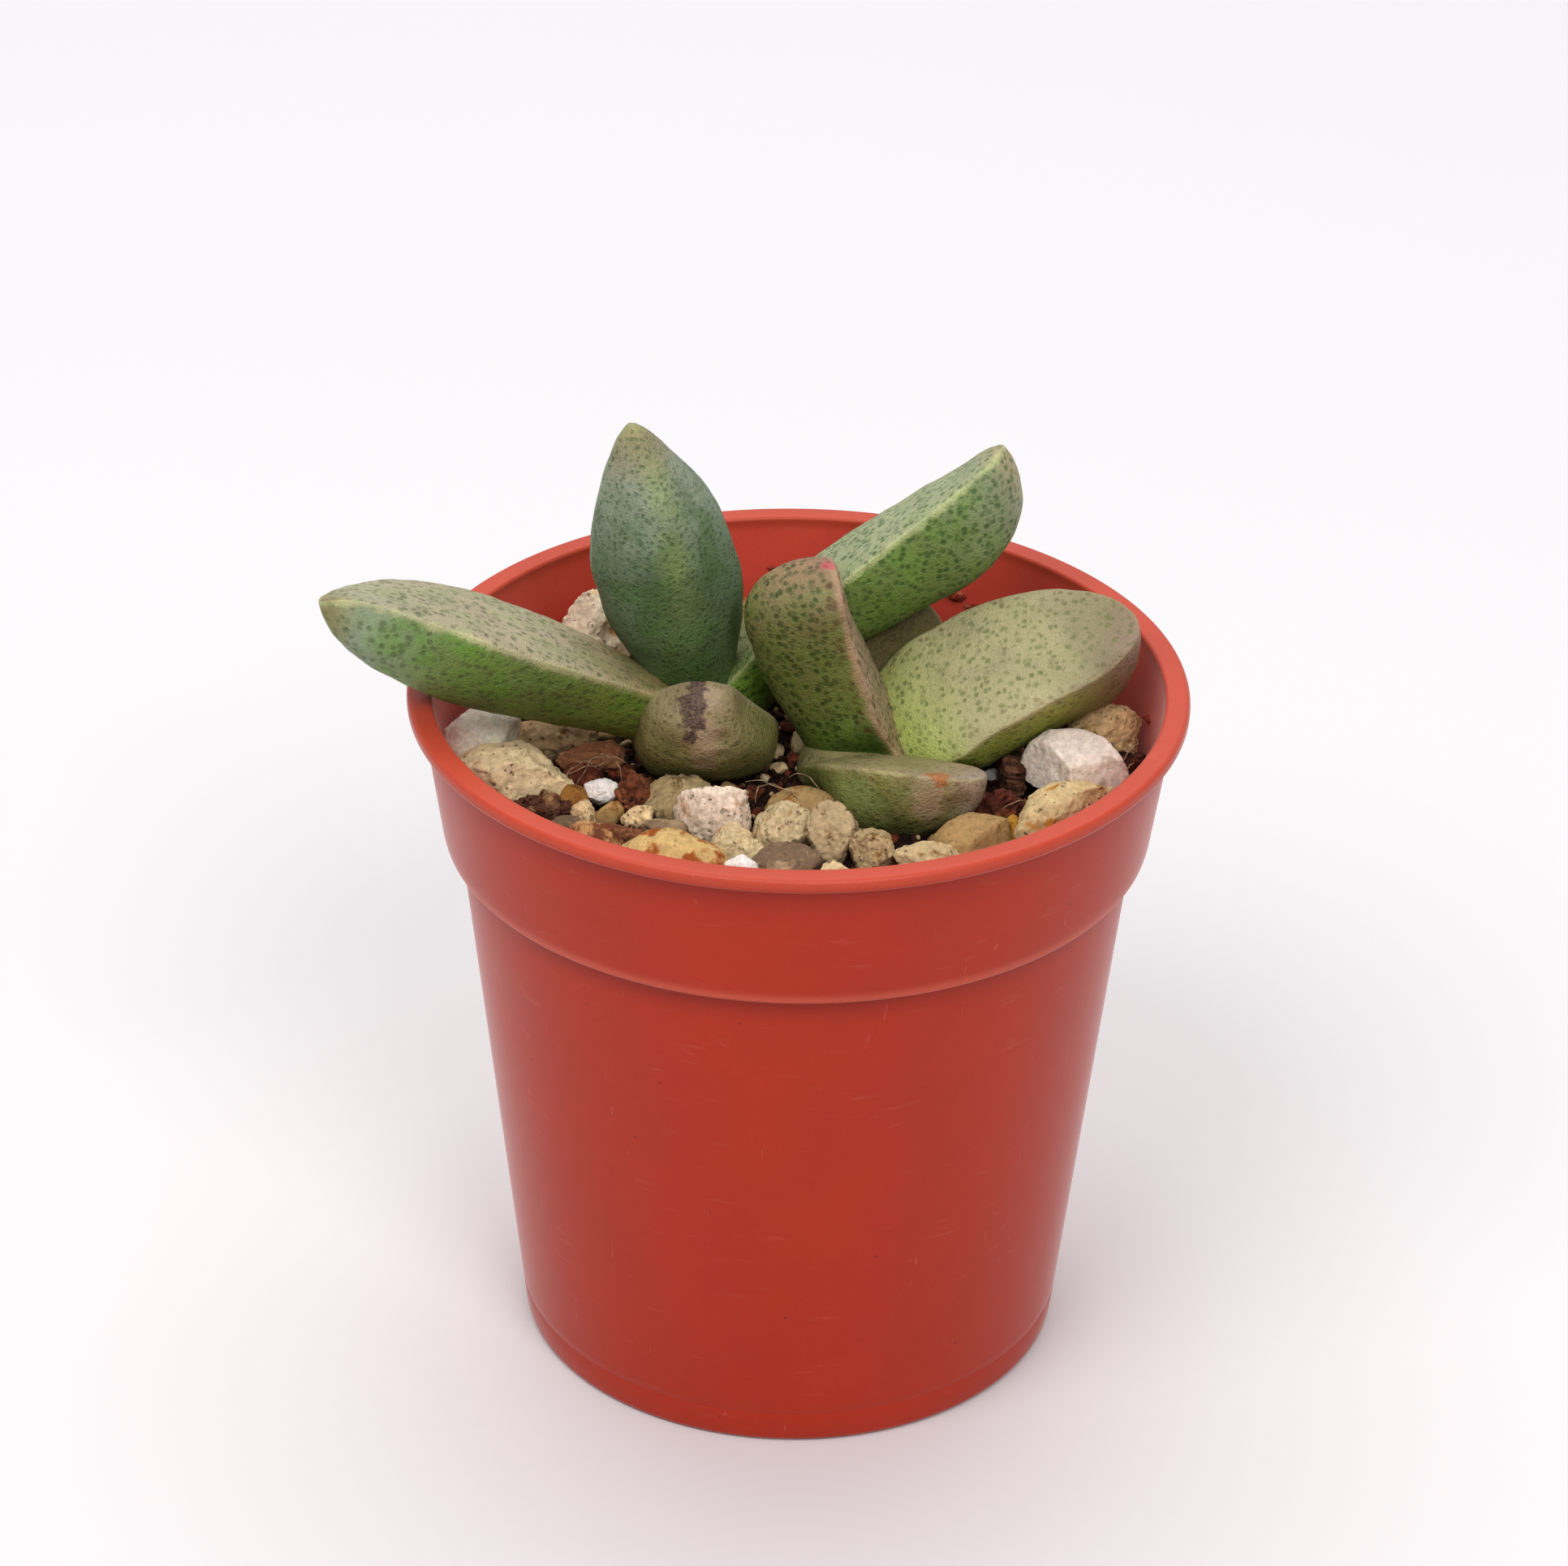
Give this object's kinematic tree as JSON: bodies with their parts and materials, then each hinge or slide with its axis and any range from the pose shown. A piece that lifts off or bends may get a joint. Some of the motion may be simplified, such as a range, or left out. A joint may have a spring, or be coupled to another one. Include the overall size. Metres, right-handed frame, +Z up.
{
  "type": "potted pleiospilos simulans",
  "caption": "Small potted succulent with thick keeled dotted leaves in two heads, in a round plastic nursery pot of gritty mix topped with loose stones.",
  "frame": {"origin": "centre of the pot's flat underside, on the pot's upright axis", "axes": "+Z up along the pot's axis, -Y towards the front that the picture shows, +X to the right seen from the front"},
  "size_m": [0.0604, 0.055, 0.0688],
  "materials": {
    "pot": "satin moulded plastic",
    "potting_mix": "rough gritty soil",
    "leaf": "waxy dotted leaf skin",
    "stem": "dull plant skin",
    "pumice": "rough porous stone",
    "perlite": "rough foamed mineral",
    "gravel": "rough grit",
    "lava": "rough porous stone",
    "bark": "rough bark",
    "slate": "dull stone"
  },
  "bodies": {
    "root": {"bark_left": "bark", "bark_right": "bark", "bark_right_far": "bark", "gravel_back": "gravel", "gravel_behind_3": "gravel", "gravel_front_left": "gravel", "gravel_left_middle": "gravel", "gravel_middle": "gravel", "gravel_ochre": "gravel", "gravel_right": "gravel", "lava_behind_2": "lava", "lava_front": "lava", "lava_left_front": "lava", "lava_left_middle": "lava", "lava_right": "lava", "lava_right_far": "lava", "left_head_leaf_front": "leaf", "left_head_leaf_long": "leaf", "left_head_leaf_side": "leaf", "left_head_leaf_upright": "leaf", "left_head_stem": "stem", "perlite_behind_4": "perlite", "perlite_front": "perlite", "perlite_left": "perlite", "perlite_right": "perlite", "perlite_small_left": "perlite", "pot": "pot", "potting_mix": "potting_mix", "pumice_back_left": "pumice", "pumice_behind_1": "pumice", "pumice_behind_5": "pumice", "pumice_below_front_leaf": "pumice", "pumice_blush": "pumice", "pumice_front_far": "pumice", "pumice_front_left": "pumice", "pumice_front_middle": "pumice", "pumice_front_right": "pumice", "pumice_left": "pumice", "pumice_middle": "pumice", "pumice_middle_right": "pumice", "pumice_right": "pumice", "pumice_right_far": "pumice", "pumice_small_front": "pumice", "pumice_small_left": "pumice", "pumice_under_leaf": "pumice", "right_head_leaf_back": "leaf", "right_head_leaf_front": "leaf", "right_head_leaf_side": "leaf", "right_head_leaf_upright": "leaf", "right_head_stem": "stem", "slate_front": "slate", "slate_middle": "slate"}
  },
  "joints": []
}
